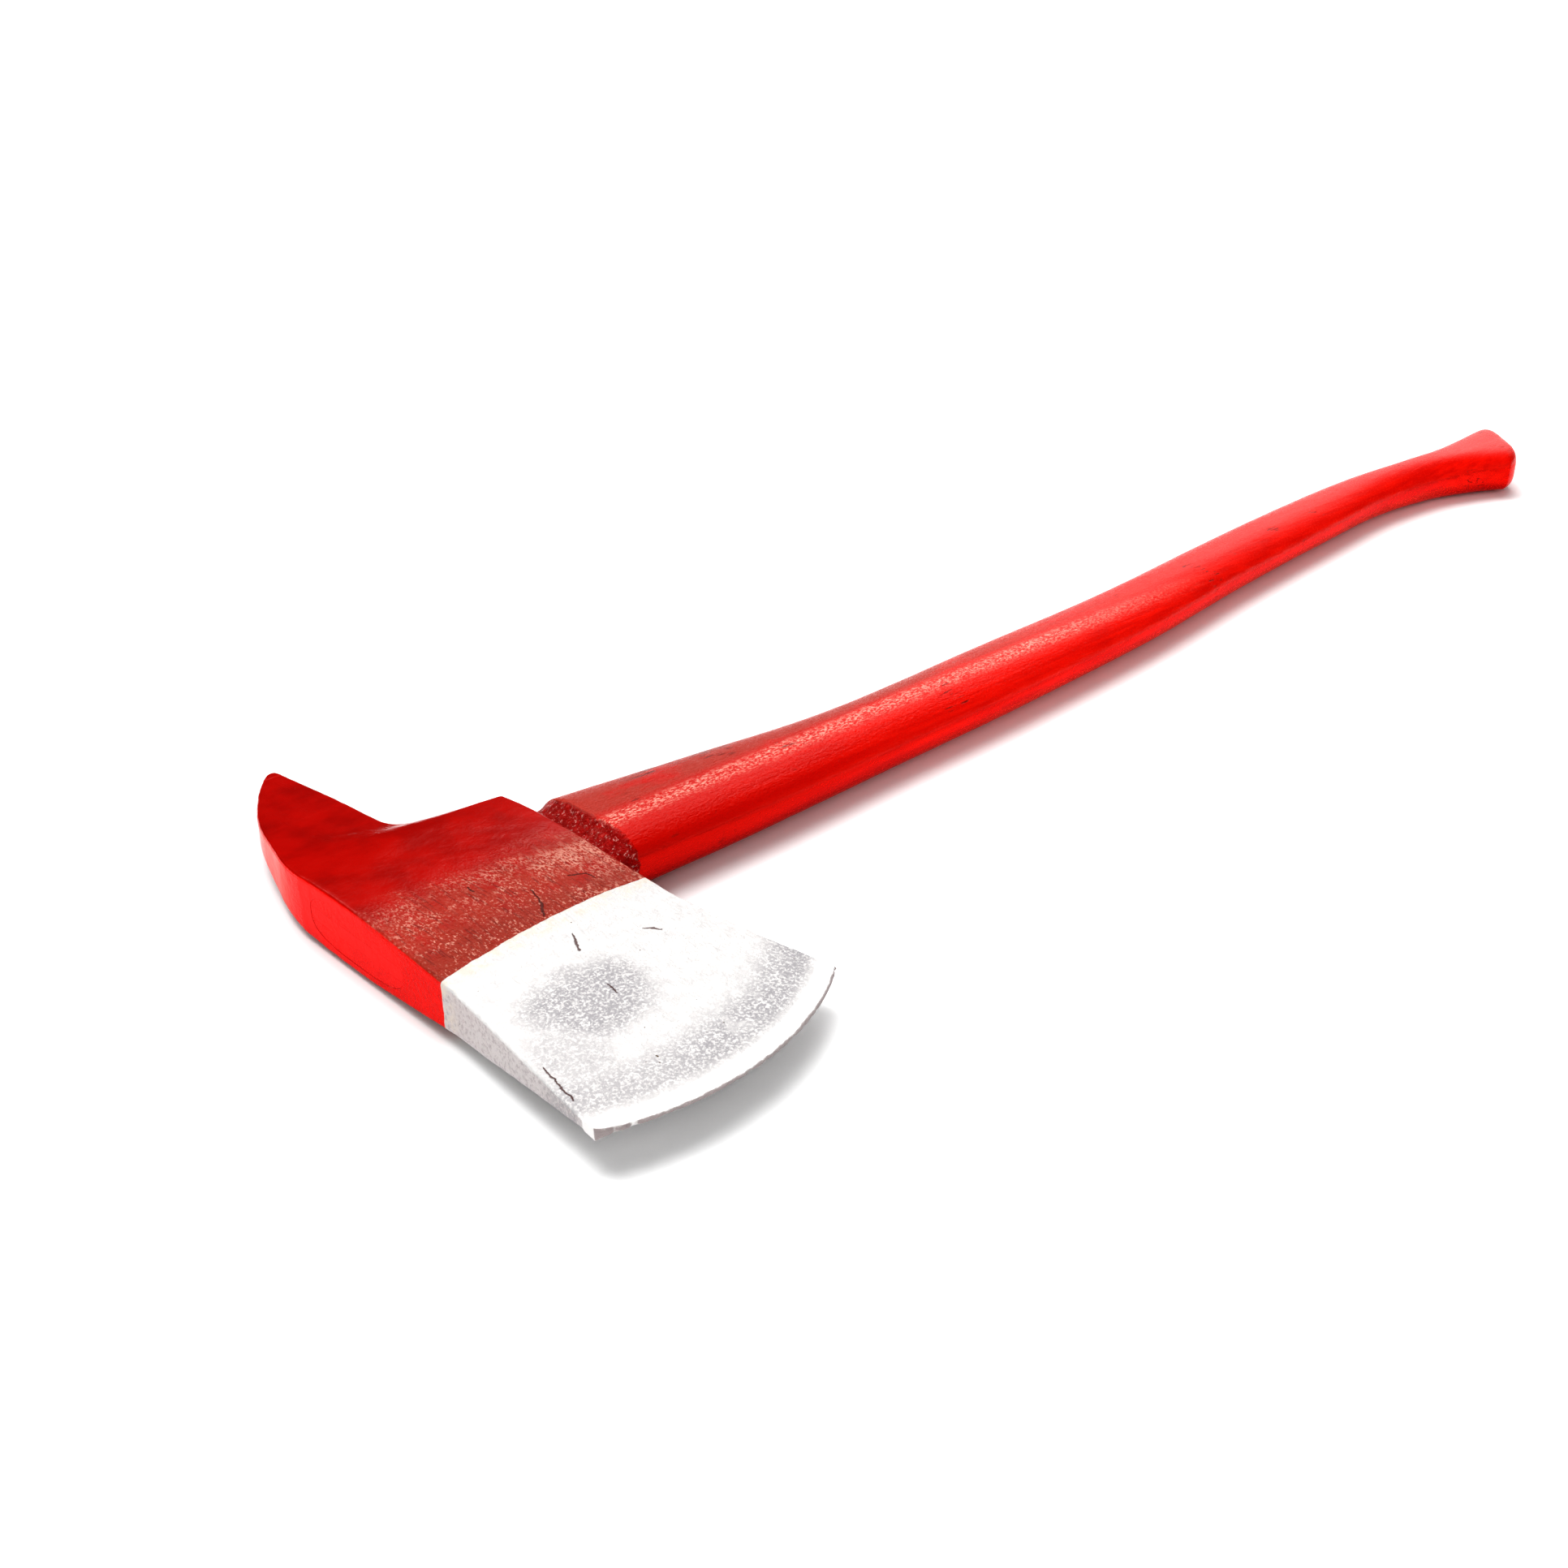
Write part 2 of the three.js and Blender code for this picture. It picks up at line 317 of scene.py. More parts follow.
def head_thickness(point, across):
    """Thickness between the cheeks; across runs from 0 at the top face to 1 at the handle face."""
    from_edge = float(np.hypot(*(point - edge_point(lerp(TOE_ANGLE, HEEL_ANGLE, across)))))
    if from_edge < BEVEL_WIDTH:
        blunt = BEVEL_EDGE + TOE_BLUNTNESS * math.exp(-across * EDGE_WIDTH / TOE_BLUNT_LENGTH)
        return lerp(blunt, max(bit_thickness(BEVEL_WIDTH), blunt), from_edge / BEVEL_WIDTH)
    pick_thickness = BODY_THICKNESS - PICK_TAPER * (point[1] - PICK_FULL_Y)
    wedge = min(bit_thickness(from_edge), pick_thickness)
    tapered = -math.log(math.exp(-wedge) + math.exp(-BODY_THICKNESS))
    near_eye = smoothstep(point[1], *CROWN_RISE_Y) * (1 - smoothstep(point[1], *CROWN_FALL_Y))
    return min(tapered + CROWN * near_eye * math.sin(math.pi * across), 2 * HALF_THICKEST)


def head_rows():
    """Matching points down the top face and the handle face, each pair with its share of the bulge."""
    rows = [(TOE, HEEL, 1.0)]
    for order, (length, curve, top_points, handle_points) in enumerate(OUTLINE):
        steps = round(length / HEAD_STEP)
        for step in range(1, steps + 1):
            share = step / steps
            bulge = 1 - share if order == 0 else 0.0
            rows.append((curve(top_points, share), curve(handle_points, share), bulge))
    return rows


def edge_nicks(seed=11, count=26):
    """Small dents along the cutting edge: (place across, half width, depth)."""
    dice = random.Random(seed)
    nicks = []
    for _ in range(count):
        nicks.append((dice.uniform(0.01, 0.99), dice.uniform(0.5, 1.6), dice.uniform(0.15, 0.75)))
    return nicks


NICKS = edge_nicks()


def nick_depth(across):
    deepest = 0.0
    for place, half_width, depth in NICKS:
        away = abs(across - place) * EDGE_WIDTH / half_width
        deepest = max(deepest, depth * max(0.0, 1 - away * away))
    return deepest


def plan_point(row, across):
    left, right, bulge = row
    point = lerp(left, right, across)
    if bulge > 0:
        on_arc = edge_point(lerp(TOE_ANGLE, HEEL_ANGLE, across))
        point = point + (on_arc - lerp(TOE, HEEL, across)) * bulge
        inward = EDGE_CENTRE - on_arc
        near_edge = max(0.0, 1 - (1 - bulge) * BIT_LENGTH / NICK_REACH)
        point = point + inward / np.hypot(*inward) * nick_depth(across) * near_edge
    return point


def ridge_drop(distance, radius):
    """How far the cheek falls towards a rounded ridge at that distance from the side face."""
    if distance >= radius:
        return 0.0
    return radius - math.sqrt(max(radius**2 - (radius - distance) ** 2, 0.0))


def forged(point, height):
    """The cheek's height with the shallow waves that forging and filing leave."""
    x, y = point
    waves = sum(depth * wobble(x, y, height, size) for depth, size in FORGING_WAVES)
    return height - FORGED_INSET + waves


def side_points(row, across, height):
    """Points up one narrow face, from near the middle plane to the ridge."""
    x, y = plan_point(row, across)
    return [(x, y, height * (k + 0.5) / SIDE_COLUMNS) for k in range(SIDE_COLUMNS)]


def cheek_places(width, radius):
    """Distances across the cheek, close together over both rounded ridges."""
    turns = [k / CORNER_COLUMNS * math.pi / 2 for k in range(CORNER_COLUMNS + 1)]
    corner = [radius * (1 - math.cos(turn)) for turn in turns]
    inner = [lerp(radius, width - radius, k / CHEEK_COLUMNS) for k in range(1, CHEEK_COLUMNS)]
    return corner + inner + [width - d for d in reversed(corner)]


def head_half_ring(row):
    """One row of the upper half, from the middle of the top face over the cheek to the handle face."""
    left, right, _ = row
    width = max(float(np.hypot(*(right - left))), 0.5)
    ends = [head_thickness(plan_point(row, a), a) / 2 for a in (0.0, 1.0)]
    radius = min(RIDGE_RADIUS, 0.3 * min(ends), 0.25 * width)
    cheek = []
    for place in cheek_places(width, radius):
        across = place / width
        x, y = plan_point(row, across)
        top = head_thickness(np.array([x, y]), across) / 2
        top = forged((x, y), top) if top > FORGED_ABOVE else top
        worn = radius * (1 + RIDGE_WEAR * wobble(x, y, 3, 5))
        cheek.append((x, y, top - ridge_drop(place, worn) - ridge_drop(width - place, worn)))
    handle_side = side_points(row, 1.0, ends[1] - radius)
    return side_points(row, 0.0, ends[0] - radius) + cheek + handle_side[::-1]


def head_ring(row, squash=1.0):
    upper = [(x, y, z * squash) for x, y, z in head_half_ring(row)]
    return upper + [(x, y, -z) for x, y, z in reversed(upper)]


def make_head():
    rows = head_rows()
    rounded = [lerp(a, b, EDGE_ROUND) for a, b in zip(rows[0], rows[1])]
    rings = [head_ring(rows[0], EDGE_SQUASH), head_ring(rounded)]
    rings += [head_ring(row) for row in rows[1:]]
    head = closed_loft("head", rings, mirrored_caps=True)
    cut(head, [eye_solid(PAINTED_GAP, "eye_cut")])
    smooth_shaded(head, SHARP_ANGLE)
    return head


# ---------------------------------------------------------------- eye, tongue and handle


def section_outline(half_depth, half_thickness, squareness, count):
    """A superellipse as (depth, thickness) pairs, evenly spaced round its length."""
    angle = np.linspace(0, 2 * math.pi, 8 * count + 1)
    c = np.abs(np.cos(angle)) / half_depth
    s = np.abs(np.sin(angle)) / half_thickness
    radius = (c**squareness + s**squareness) ** (-1 / squareness)
    depth = radius * np.cos(angle)
    thickness = radius * np.sin(angle)
    run = np.concatenate([[0], np.cumsum(np.hypot(np.diff(depth), np.diff(thickness)))])
    places = np.linspace(0, run[-1], count, endpoint=False)
    return np.stack([np.interp(places, run, depth), np.interp(places, run, thickness)], axis=1)


def top_face_x(y):
    (x0, y0), (x1, y1) = TOP_FACE
    return lerp(x0, x1, (y - y0) / (y1 - y0))


def eye_section(along, grow):
    depth, thickness = (lerp(a, b, along) + grow for a, b in zip(EYE_MOUTH, EYE_TOP))
    return section_outline(depth, thickness, EYE_SQUARENESS, HANDLE_SIDES)


def eye_solid(grow, name):
    """The eye's tapered hole, longer than the head is deep."""
    rings = []
    for x in EYE_CUT_X:
        outline = eye_section(x / TOP_FACE[1][0], grow)
        rings.append([(x, EYE_Y + d, t) for d, t in outline])
    return closed_loft(name, rings, mirrored_caps=False)


def tongue_ring(along):
    """The tongue's outline; along runs from 0 at the eye's mouth to 1 at the head's top face."""
    ring = []
    for d, t in eye_section(along, 0.0):
        x = lerp(SHOULDER_X[0], top_face_x(EYE_Y + d) + TONGUE_PROUD, along)
        ring.append((x, EYE_Y + d, t))
    return ring


def tongue_rings():
    return [tongue_ring(1 - step / TONGUE_STEPS) for step in range(TONGUE_STEPS)]


def section_ring(x, y, outline, slant, scale=1.0):
    return [(x + slant * d * scale, y + d * scale, t * scale) for d, t in outline]


def pushed_out(point, centre_y, depth):
    """The point moved away from the handle's axis, or towards it where depth is negative."""
    x, y, z = point
    out = Vector((0, y - centre_y, z))
    out.normalize()
    return (x, y + out.y * depth, z + out.z * depth)


def chopped(point, centre_y, amount):
    """The dents that a rasp leaves, only inwards of the outline."""
    x, y, z = point
    return pushed_out(point, centre_y, amount * (wobble(x, y, z + 40, CHOP_SIZE) - 1) / 2)


def shoulder_rings():
    mouth = section_outline(*EYE_MOUTH, EYE_SQUARENESS, HANDLE_SIDES)
    _, full_y, depth, thickness, squareness, _ = HANDLE_STATIONS[0]
    full = section_outline(depth, thickness, squareness, HANDLE_SIDES)
    rings = []
    for step in range(SHOULDER_STEPS):
        share = step / SHOULDER_STEPS
        y = lerp(EYE_Y, full_y, share)
        ring = section_ring(lerp(*SHOULDER_X, share), y, lerp(mouth, full, share), 0)
        amount = CHOP_DEPTH * math.sin(math.pi * min(share, CHOP_LAST))
        rings.append([chopped(p, y, amount) for p in ring])
    return rings


def hand_shaped(point, centre_y):
    """The slow waves that the spokeshave leaves along the grain, only inwards of the outline."""
    x, y, z = point
    depth = 0.0
    for relief, length, size, shift in SHAVED_WAVES:
        wave = noise.noise(Vector((x / length, y / size, z / size + shift)))
        depth += relief * (wave - 1) / 2
    return pushed_out(point, centre_y, depth)


def shaft_rings():
    first, last = HANDLE_STATIONS[0][0], HANDLE_STATIONS[-1][0]
    steps = round((last - first) / HANDLE_STEP)
    rings = []
    for step in range(steps + 1):
        x, y, depth, thickness, squareness, slant = catmull_rom(HANDLE_STATIONS, step / steps)
        outline = section_outline(depth, thickness, squareness, HANDLE_SIDES)
        ring = section_ring(x, y, outline, slant)
        rings.append([hand_shaped(p, y) for p in ring])
    return rings


def knob_rings():
    x, y, depth, thickness, squareness, slant = HANDLE_STATIONS[-1]
    outline = section_outline(depth, thickness, squareness, HANDLE_SIDES)
    rings = []
    for step in range(1, KNOB_STEPS):
        angle = step / KNOB_STEPS * math.pi / 2
        scale = math.cos(angle) ** KNOB_ROUNDNESS
        ring = section_ring(x + KNOB_DOME * math.sin(angle), y, outline, slant, scale)
        rings.append([hand_shaped(p, y) for p in ring])
    return rings


def wedge_profile(size, grow):
    """A wedge's side view as (x, offset) pairs, carried on past the head's top face."""
    end_x = TOP_FACE[1][0]
    slope = (size["mouth"] - size["tip"]) / 2 / size["length"]
    wide = size["mouth"] / 2 + slope * WEDGE_OVERRUN + grow
    narrow = size["tip"] / 2 + grow
    start_x = end_x - WEDGE_OVERRUN
    tip_x = end_x + size["length"] + grow
    return [(start_x, -wide), (tip_x, -narrow), (tip_x, narrow), (start_x, wide)]


def kerf_prism(name, grow):
    """A slab thin in Z and wider than the eye: the wooden wedge before it is trimmed."""
    half_width = EYE_TOP[0] + KERF_MARGIN
    profile = wedge_profile(KERF, grow)
    sides = (EYE_Y - half_width, EYE_Y + half_width)
    rings = [[(x, y, offset) for x, offset in profile] for y in sides]
    return closed_loft(name, rings, mirrored_caps=False)


def steel_prism(name, y, grow):
    """A slab thin in Y that stands across the kerf: one steel wedge before it is trimmed."""
    half_width = STEEL_WEDGE_WIDTH / 2 + grow
    profile = wedge_profile(STEEL_WEDGE, grow)
    rings = [[(x, y + offset, z) for x, offset in profile] for z in (half_width, -half_width)]
    return closed_loft(name, rings, mirrored_caps=False)


def steel_slots():
    return [steel_prism(f"slot_{order}", y, PAINTED_GAP) for order, y in enumerate(STEEL_WEDGE_Y)]


def make_handle():
    rings = tongue_rings() + shoulder_rings() + shaft_rings() + knob_rings()
    handle = closed_loft("painted_handle", rings, mirrored_caps=False)
    cut(handle, [kerf_prism("kerf_cut", PAINTED_GAP)] + steel_slots())
    smooth_shaded(handle, SHARP_ANGLE)
    return handle


def trim_to_tongue(wedge):
    """Leaves only what lies within the tongue's outline."""
    space = closed_loft("eye_space", [tongue_ring(1.0), tongue_ring(0.0)], mirrored_caps=False)
    cut(wedge, [space], "INTERSECT")


def make_wooden_wedge():
    wedge = kerf_prism("oak_wedge", 0)
    trim_to_tongue(wedge)
    cut(wedge, steel_slots())
    smooth_shaded(wedge, WEDGE_SHARP_ANGLE)
    return wedge


def make_steel_wedge(order, y):
    wedge = steel_prism(f"iron_wedge_{order}", y, 0)
    trim_to_tongue(wedge)
    smooth_shaded(wedge, WEDGE_SHARP_ANGLE)
    return wedge


# ---------------------------------------------------------------- material helpers

STROKE_SHAKE = 2.6


class Nodes:
    """Short calls for building one material's node tree around a Principled shader."""

    def __init__(self, name):
        self.material = bpy.data.materials.new(name)
        self.material.use_nodes = True
        self.tree = self.material.node_tree
        self.shader = self.tree.nodes["Principled BSDF"]
        coords = self.add("ShaderNodeTexCoord").outputs
        scaled = self.vector("MULTIPLY", coords["Object"], (1 / MM,) * 3)[0]
        self.place = self.vector("SUBTRACT", scaled, tuple(ORIGIN))[0]
        self.x, self.y, self.z = self.add("ShaderNodeSeparateXYZ", {0: self.place}).outputs
        self.upward = self.add("ShaderNodeSeparateXYZ", {0: coords["Normal"]}).outputs[2]
        self.facing = self.math("ABSOLUTE", self.upward)

    def add(self, kind, inputs=None, **settings):
        node = self.tree.nodes.new(kind)
        for key, value in settings.items():
            setattr(node, key, value)
        for key, value in (inputs or {}).items():
            self.feed(node.inputs[key], value)
        return node

    def feed(self, socket, value):
        if isinstance(value, bpy.types.NodeSocket):
            self.tree.links.new(value, socket)
        elif isinstance(value, tuple) and len(value) == 3 and socket.type == "RGBA":
            socket.default_value = (*value, 1.0)
        else:
            socket.default_value = value

    def math(self, operation, a, b=None, clamp=False):
        inputs = {0: a} if b is None else {0: a, 1: b}
        return self.add("ShaderNodeMath", inputs, operation=operation, use_clamp=clamp).outputs[0]

    def plus(self, a, b):
        return self.math("ADD", a, b)

    def minus(self, a, b):
        return self.math("SUBTRACT", a, b)

    def times(self, a, b):
        return self.math("MULTIPLY", a, b)

    def larger(self, a, b):
        return self.math("MAXIMUM", a, b)

    def vector(self, operation, *inputs):
        """The outputs of one step of vector maths."""
        return self.add("ShaderNodeVectorMath", dict(enumerate(inputs)), operation=operation).outputs

    def noise(self, size, detail=3.0, rough=0.55, stretch=(1, 1, 1), twist=0.0, shift=0.0):
        """Fractal noise from 0 to 1 with features of that size in millimetres, drawn out by stretch."""
        factors = tuple(1 / (size * s) for s in stretch)
        scaled = self.vector("MULTIPLY", self.place, factors)[0]
        moved = self.vector("ADD", scaled, (shift,) * 3)[0]
        inputs = {"Vector": moved, "Scale": 1.0, "Detail": detail, "Roughness": rough,
                  "Distortion": twist}
        return self.add("ShaderNodeTexNoise", inputs).outputs["Fac"]

    def ragged(self, value, texture, spread):
        """The value moved up and down by a texture, so that the edge of its band is broken."""
        return self.plus(value, self.times(self.minus(texture, 0.5), spread))

    def band(self, value, low, high):
        """0 below low, 1 above high, smooth between; falls instead when low is above high."""
        flip = low > high
        inputs = {"Value": value, "From Min": min(low, high), "From Max": max(low, high),
                  "To Min": 1.0 if flip else 0.0, "To Max": 0.0 if flip else 1.0}
        return self.add("ShaderNodeMapRange", inputs, interpolation_type="SMOOTHSTEP").outputs["Result"]

    def mix(self, share, a, b):
        node = self.add("ShaderNodeMix", data_type="RGBA")
        self.feed(node.inputs[0], share)
        self.feed(node.inputs[6], a)
        self.feed(node.inputs[7], b)
        return node.outputs[2]

    def over(self, color, mask, strength, paint):
        """The colour with paint laid over it where the mask is, at that strength."""
        return self.mix(self.times(mask, strength), color, paint)

    def blend(self, share, a, b):
        node = self.add("ShaderNodeMix", data_type="FLOAT")
        self.feed(node.inputs[0], share)
        self.feed(node.inputs[2], a)
        self.feed(node.inputs[3], b)
        return node.outputs[0]

    def both(self, *masks):
        result = masks[0]
        for mask in masks[1:]:
            result = self.math("MULTIPLY", result, mask)
        return result

    def stroke(self, start, end, half_width):
        """1 on a wavering line over the upper cheek, from start to end in plan."""
        along = Vector((*end, 0)) - Vector((*start, 0))
        shake = self.add("ShaderNodeTexNoise", {"Vector": self.place, "Scale": 0.35, "Detail": 3.0})
        shaken = self.vector("MULTIPLY_ADD", shake.outputs["Color"], (STROKE_SHAKE,) * 3, self.place)[0]
        flat = self.vector("MULTIPLY", shaken, (1, 1, 0))[0]
        origin = (start[0] + STROKE_SHAKE / 2, start[1] + STROKE_SHAKE / 2, 0)
        away = self.vector("SUBTRACT", flat, origin)[0]
        dot = self.vector("DOT_PRODUCT", away, along / along.length_squared)["Value"]
        share = self.math("MULTIPLY", dot, 1.0, clamp=True)
        foot = self.add("ShaderNodeVectorMath", {0: tuple(along), "Scale": share}, operation="SCALE")
        gap = self.vector("DISTANCE", away, foot.outputs[0])["Value"]
        line = self.band(gap, half_width * 1.5, half_width * 0.5)
        return self.both(line, self.band(self.z, 0.0, 1.0))

    def bump(self, height, depth_mm, strength=1.0):
        """Adds a layer of relief over the layers added before."""
        inputs = {"Height": height, "Distance": depth_mm * MM, "Strength": strength}
        node = self.add("ShaderNodeBump", inputs)
        if self.shader.inputs["Normal"].links:
            self.tree.links.new(self.shader.inputs["Normal"].links[0].from_socket, node.inputs["Normal"])
        self.tree.links.new(node.outputs["Normal"], self.shader.inputs["Normal"])

    def finish(self, color, roughness, metallic=None, specular=0.5, tint=(1, 1, 1)):
        self.shader.inputs["Specular IOR Level"].default_value = specular
        self.shader.inputs["Specular Tint"].default_value = (*tint, 1)
        self.feed(self.shader.inputs["Base Color"], color)
        self.feed(self.shader.inputs["Roughness"], roughness)
        if metallic is not None:
            self.feed(self.shader.inputs["Metallic"], metallic)
        return self.material


# ---------------------------------------------------------------- materials

# How strongly the axe reflects, in which tint, and how far its narrow red faces tint what they mirror
SHEEN = 0.25
SHEEN_TINT = (1.0, 0.3, 0.25)
SIDE_METAL = 0.55
SILVER_METAL = 0.06
PAINTED_END_ROUGHNESS = 0.22

# The line between red and silver, as a curve down the cheek, and where the eye's bare inside begins
PAINT_LINE_Y = 47.0
PAINT_LINE_SLOPE = -0.028
PAINT_LINE_BEND = 0.00042
PAINTED_END_X = (-92.0, -92.6)
PAINTED_MOUTH_X = (-1.0, -2.0)

# Colours as linear red, green and blue; where there are two, noise mixes them
# The first red is a brighter copy for the narrow faces and painted ends, the second a darker copy for
# the cheeks: painted light and painted shade by how the faces are turned.
SIDE_LIT_RED = ((0.70, 0.005, 0.001), (0.80, 0.009, 0.002))
SHADED_CHEEK_RED = ((0.31, 0.003, 0.001), (0.41, 0.005, 0.002))
# Painted sheen: a duller, browner red for patches on the cheeks
PAINTED_SHEEN_RED = (0.34, 0.036, 0.018)
DARK_NEAR_LINE = (0.22, 0.030, 0.014)
FILE_MARK = (0.13, 0.008, 0.004)
# Painted highlight: pale flecks for glints on the cheeks
GLINT_RED = (0.68, 0.36, 0.28)
SILVER = ((0.60, 0.60, 0.595), (0.71, 0.71, 0.70))
# Painted shade: a darker, warmer silver for the narrow faces
SHADED_SILVER_SIDE = (0.58, 0.56, 0.555)
SILVER_STAIN = (0.38, 0.35, 0.36)
SILVER_CREAM = (0.64, 0.60, 0.54)
BRIGHT_BEVEL = (0.86, 0.86, 0.85)
# Painted reflection: grey for patches of the silver
REFLECTED_GREY = (0.33, 0.33, 0.345)
CRACK = (0.05, 0.012, 0.01)
SPECK = (0.10, 0.08, 0.05)
BARE_EDGE = (0.20, 0.16, 0.16)
HANDLE_RED = ((0.62, 0.006, 0.001), (0.78, 0.012, 0.003))
CLOUDED_RED = (0.54, 0.005, 0.001)
DEEP_RED = (0.46, 0.004, 0.001)
UNDERSIDE_RED = (0.84, 0.060, 0.030)
DULL_TOP_RED = (0.36, 0.045, 0.028)
# Painted highlight: pale spots on the handle's ridge
RIDGE_HIGHLIGHT = (0.90, 0.52, 0.42)
SHOULDER_RED = (0.38, 0.004, 0.004)
SHOULDER_GLINT = (0.85, 0.50, 0.46)
SPLIT_PAINT = (0.10, 0.010, 0.006)
PALE_WOOD = ((0.52, 0.33, 0.16), (0.66, 0.46, 0.26))
WOOD_PORE = (0.30, 0.17, 0.08)
STEEL = ((0.42, 0.42, 0.43), (0.20, 0.17, 0.15))
PAPER = ((0.93, 0.93, 0.93), (0.96, 0.96, 0.96))


def past_paint_line(n):
    """How far a place lies on the silver's side of the brushed line, in millimetres."""
    away = n.times(n.x, -1.0)
    bend = n.times(n.times(away, away), PAINT_LINE_BEND)
    line = n.minus(n.times(away, PAINT_LINE_SLOPE), bend)
    return n.minus(n.minus(line, PAINT_LINE_Y), n.ragged(n.y, n.noise(6, 3), 1.6))


def patch(n, centre, radii):
    """1 inside a soft oval patch of the cheek."""
    dx = n.math("DIVIDE", n.minus(n.x, centre[0]), radii[0])
    dy = n.math("DIVIDE", n.minus(n.y, centre[1]), radii[1])
    reach = n.plus(n.times(dx, dx), n.times(dy, dy))
    return n.band(n.ragged(reach, n.noise(12, 5, 0.65), 1.6), 1.45, 0.30)


def distance_from_edge(n):
    dx = n.minus(n.x, float(EDGE_CENTRE[0]))
    dy = n.minus(n.y, float(EDGE_CENTRE[1]))
    reach = n.math("SQRT", n.plus(n.times(dx, dx), n.times(dy, dy)))
    return n.minus(EDGE_RADIUS, reach)


# Painted light: the brighter copy of the red, for the narrow faces and the painted ends.
def side_lit_red(n):
    return n.mix(n.band(n.noise(22, 4), 0.3, 0.7), *SIDE_LIT_RED)


def sheen_and_file_marks_on_cheek(n, color, zone):
    """Painted sheen as patches of duller, browner red on the cheeks, with file marks, darker towards the
    silver.
    """
    worn = n.both(zone, n.band(n.noise(9, 5, 0.7), 0.26, 0.60))
    # Painted sheen: duller, browner red in patches.
    color = n.over(color, worn, 0.85, PAINTED_SHEEN_RED)
    color = n.over(color, n.both(zone, n.band(n.y, -28, -44)), 0.5, DARK_NEAR_LINE)
    filed = n.both(zone, n.band(n.noise(0.75, 2, 0.5, stretch=(1, 22, 1), shift=7.0), 0.54, 0.66))
    return n.over(color, filed, 0.6, FILE_MARK)


def painted_glints_on_cheek(n, color, zone):
    """Painted highlight: small pale flecks that stand in for glints off the pebbled red, more of them on
    the crest and towards the handle.
    """
    crest = n.both(n.band(n.y, -1, -8), n.band(n.y, -34, -18))
    shine = n.plus(n.times(n.band(n.x, -46, -6), 0.07), n.times(crest, 0.05))
    fleck = n.plus(n.noise(0.9, 3, 0.7, stretch=(1, 1.8, 1), shift=5.0), shine)
    cluster = n.band(n.noise(13, 3, 0.6, shift=8.0), 0.34, 0.60)
    return n.over(color, n.both(zone, n.band(fleck, 0.53, 0.66), cluster), 0.75, GLINT_RED)


def red_on_head(n):
    cheek = n.band(n.facing, 0.35, 0.8)
    # Painted shade: the cheeks take a darker copy of the red than the narrow faces.
    deep = n.mix(n.band(n.noise(22, 4), 0.35, 0.65), *SHADED_CHEEK_RED)
    color = n.mix(cheek, side_lit_red(n), deep)
    ragged_y = n.ragged(n.y, n.noise(17, 4, 0.6), 26.0)
    sheen_zone = n.both(n.band(ragged_y, 6, -20), cheek)
    # Painted sheen and painted glints over the cheeks, with file marks.
    return painted_glints_on_cheek(n, sheen_and_file_marks_on_cheek(n, color, sheen_zone), sheen_zone)


def grey_reflection_on_bit(n, from_edge):
    """1 where grey is painted into the silver as a painted reflection of darker surroundings: along the
    edge, and in two patches of the bit.
    """
    inner = n.both(n.band(from_edge, 6, 12), n.band(from_edge, 34, 18))
    heel_half = n.band(n.x, -78, -45)
    near_edge = n.both(inner, n.blend(heel_half, 0.75, 1.0), n.band(n.noise(16, 4, 0.6), 0.22, 0.44))
    toe_patch = n.times(patch(n, (-88, -112), (13, 20)), 0.5)
    return n.larger(n.larger(patch(n, (-65, -94), (26, 19)), toe_patch), near_edge)


def silver_on_head(n, from_edge, past_line, grey):
    mottle = n.noise(5, 5, 0.7)
    color = n.mix(n.band(mottle, 0.3, 0.7), *SILVER)
    # Painted shade: the narrow faces take a darker, warmer silver than the cheeks.
    narrow = n.band(n.facing, 0.6, 0.2)
    color = n.mix(narrow, color, SHADED_SILVER_SIDE)
    stained = n.both(narrow, n.band(n.noise(1.5, 4, 0.7, shift=4.0), 0.48, 0.60))
    color = n.over(color, stained, 0.7, SILVER_STAIN)
    cream = n.both(n.band(past_line, 11, 3), n.band(mottle, 0.42, 0.6))
    color = n.mix(cream, color, SILVER_CREAM)
    color = n.mix(n.band(from_edge, 7.5, 6.5), color, BRIGHT_BEVEL)
    # Painted reflection: grey speckles laid into the silver inside that mask.
    speckled = n.both(grey, n.band(n.noise(1.1, 3, 0.7), 0.60, 0.46))
    return n.over(color, speckled, 0.9, REFLECTED_GREY)


# Splits in the head's paint: start and end in plan, half width
CRACKS = (
    ((-41.0, -31.0), (-43.5, -39.5), 0.35),
    ((-43.5, -39.5), (-47.5, -47.0), 0.45),
    ((-24.0, -31.0), (-17.5, -33.0), 0.40),
    ((-17.5, -33.0), (-17.0, -37.5), 0.35),
    ((-57.0, -14.0), (-57.5, -18.0), 0.30),
    ((-47.0, -62.0), (-51.5, -71.0), 0.40),
    ((-24.5, -73.5), (-20.0, -77.5), 0.30),
    ((-56.0, -91.0), (-56.5, -96.5), 0.25),
    ((-99.0, -111.0), (-101.0, -129.0), 0.30),
)


def head_cracks(n):
    """Thin lines where the paint has split."""
    total = 0.0
    for crack in CRACKS:
        total = n.larger(n.stroke(*crack), total)
    return total


def damage_on_head(n, color, silver, from_edge, cracks):
    """Cracks everywhere, dark specks in the silver, and bare steel along the edge."""
    color = n.over(color, cracks, 0.85, CRACK)
    specks = n.both(n.band(n.noise(2.1, 2, 0.5, shift=9.0), 0.765, 0.79), silver)
    color = n.mix(specks, color, SPECK)
    ragged_edge = n.plus(from_edge, n.times(n.noise(3, 3), 1.6))
    return n.over(color, n.both(n.band(ragged_edge, 2.0, 1.2), silver), 0.8, BARE_EDGE)


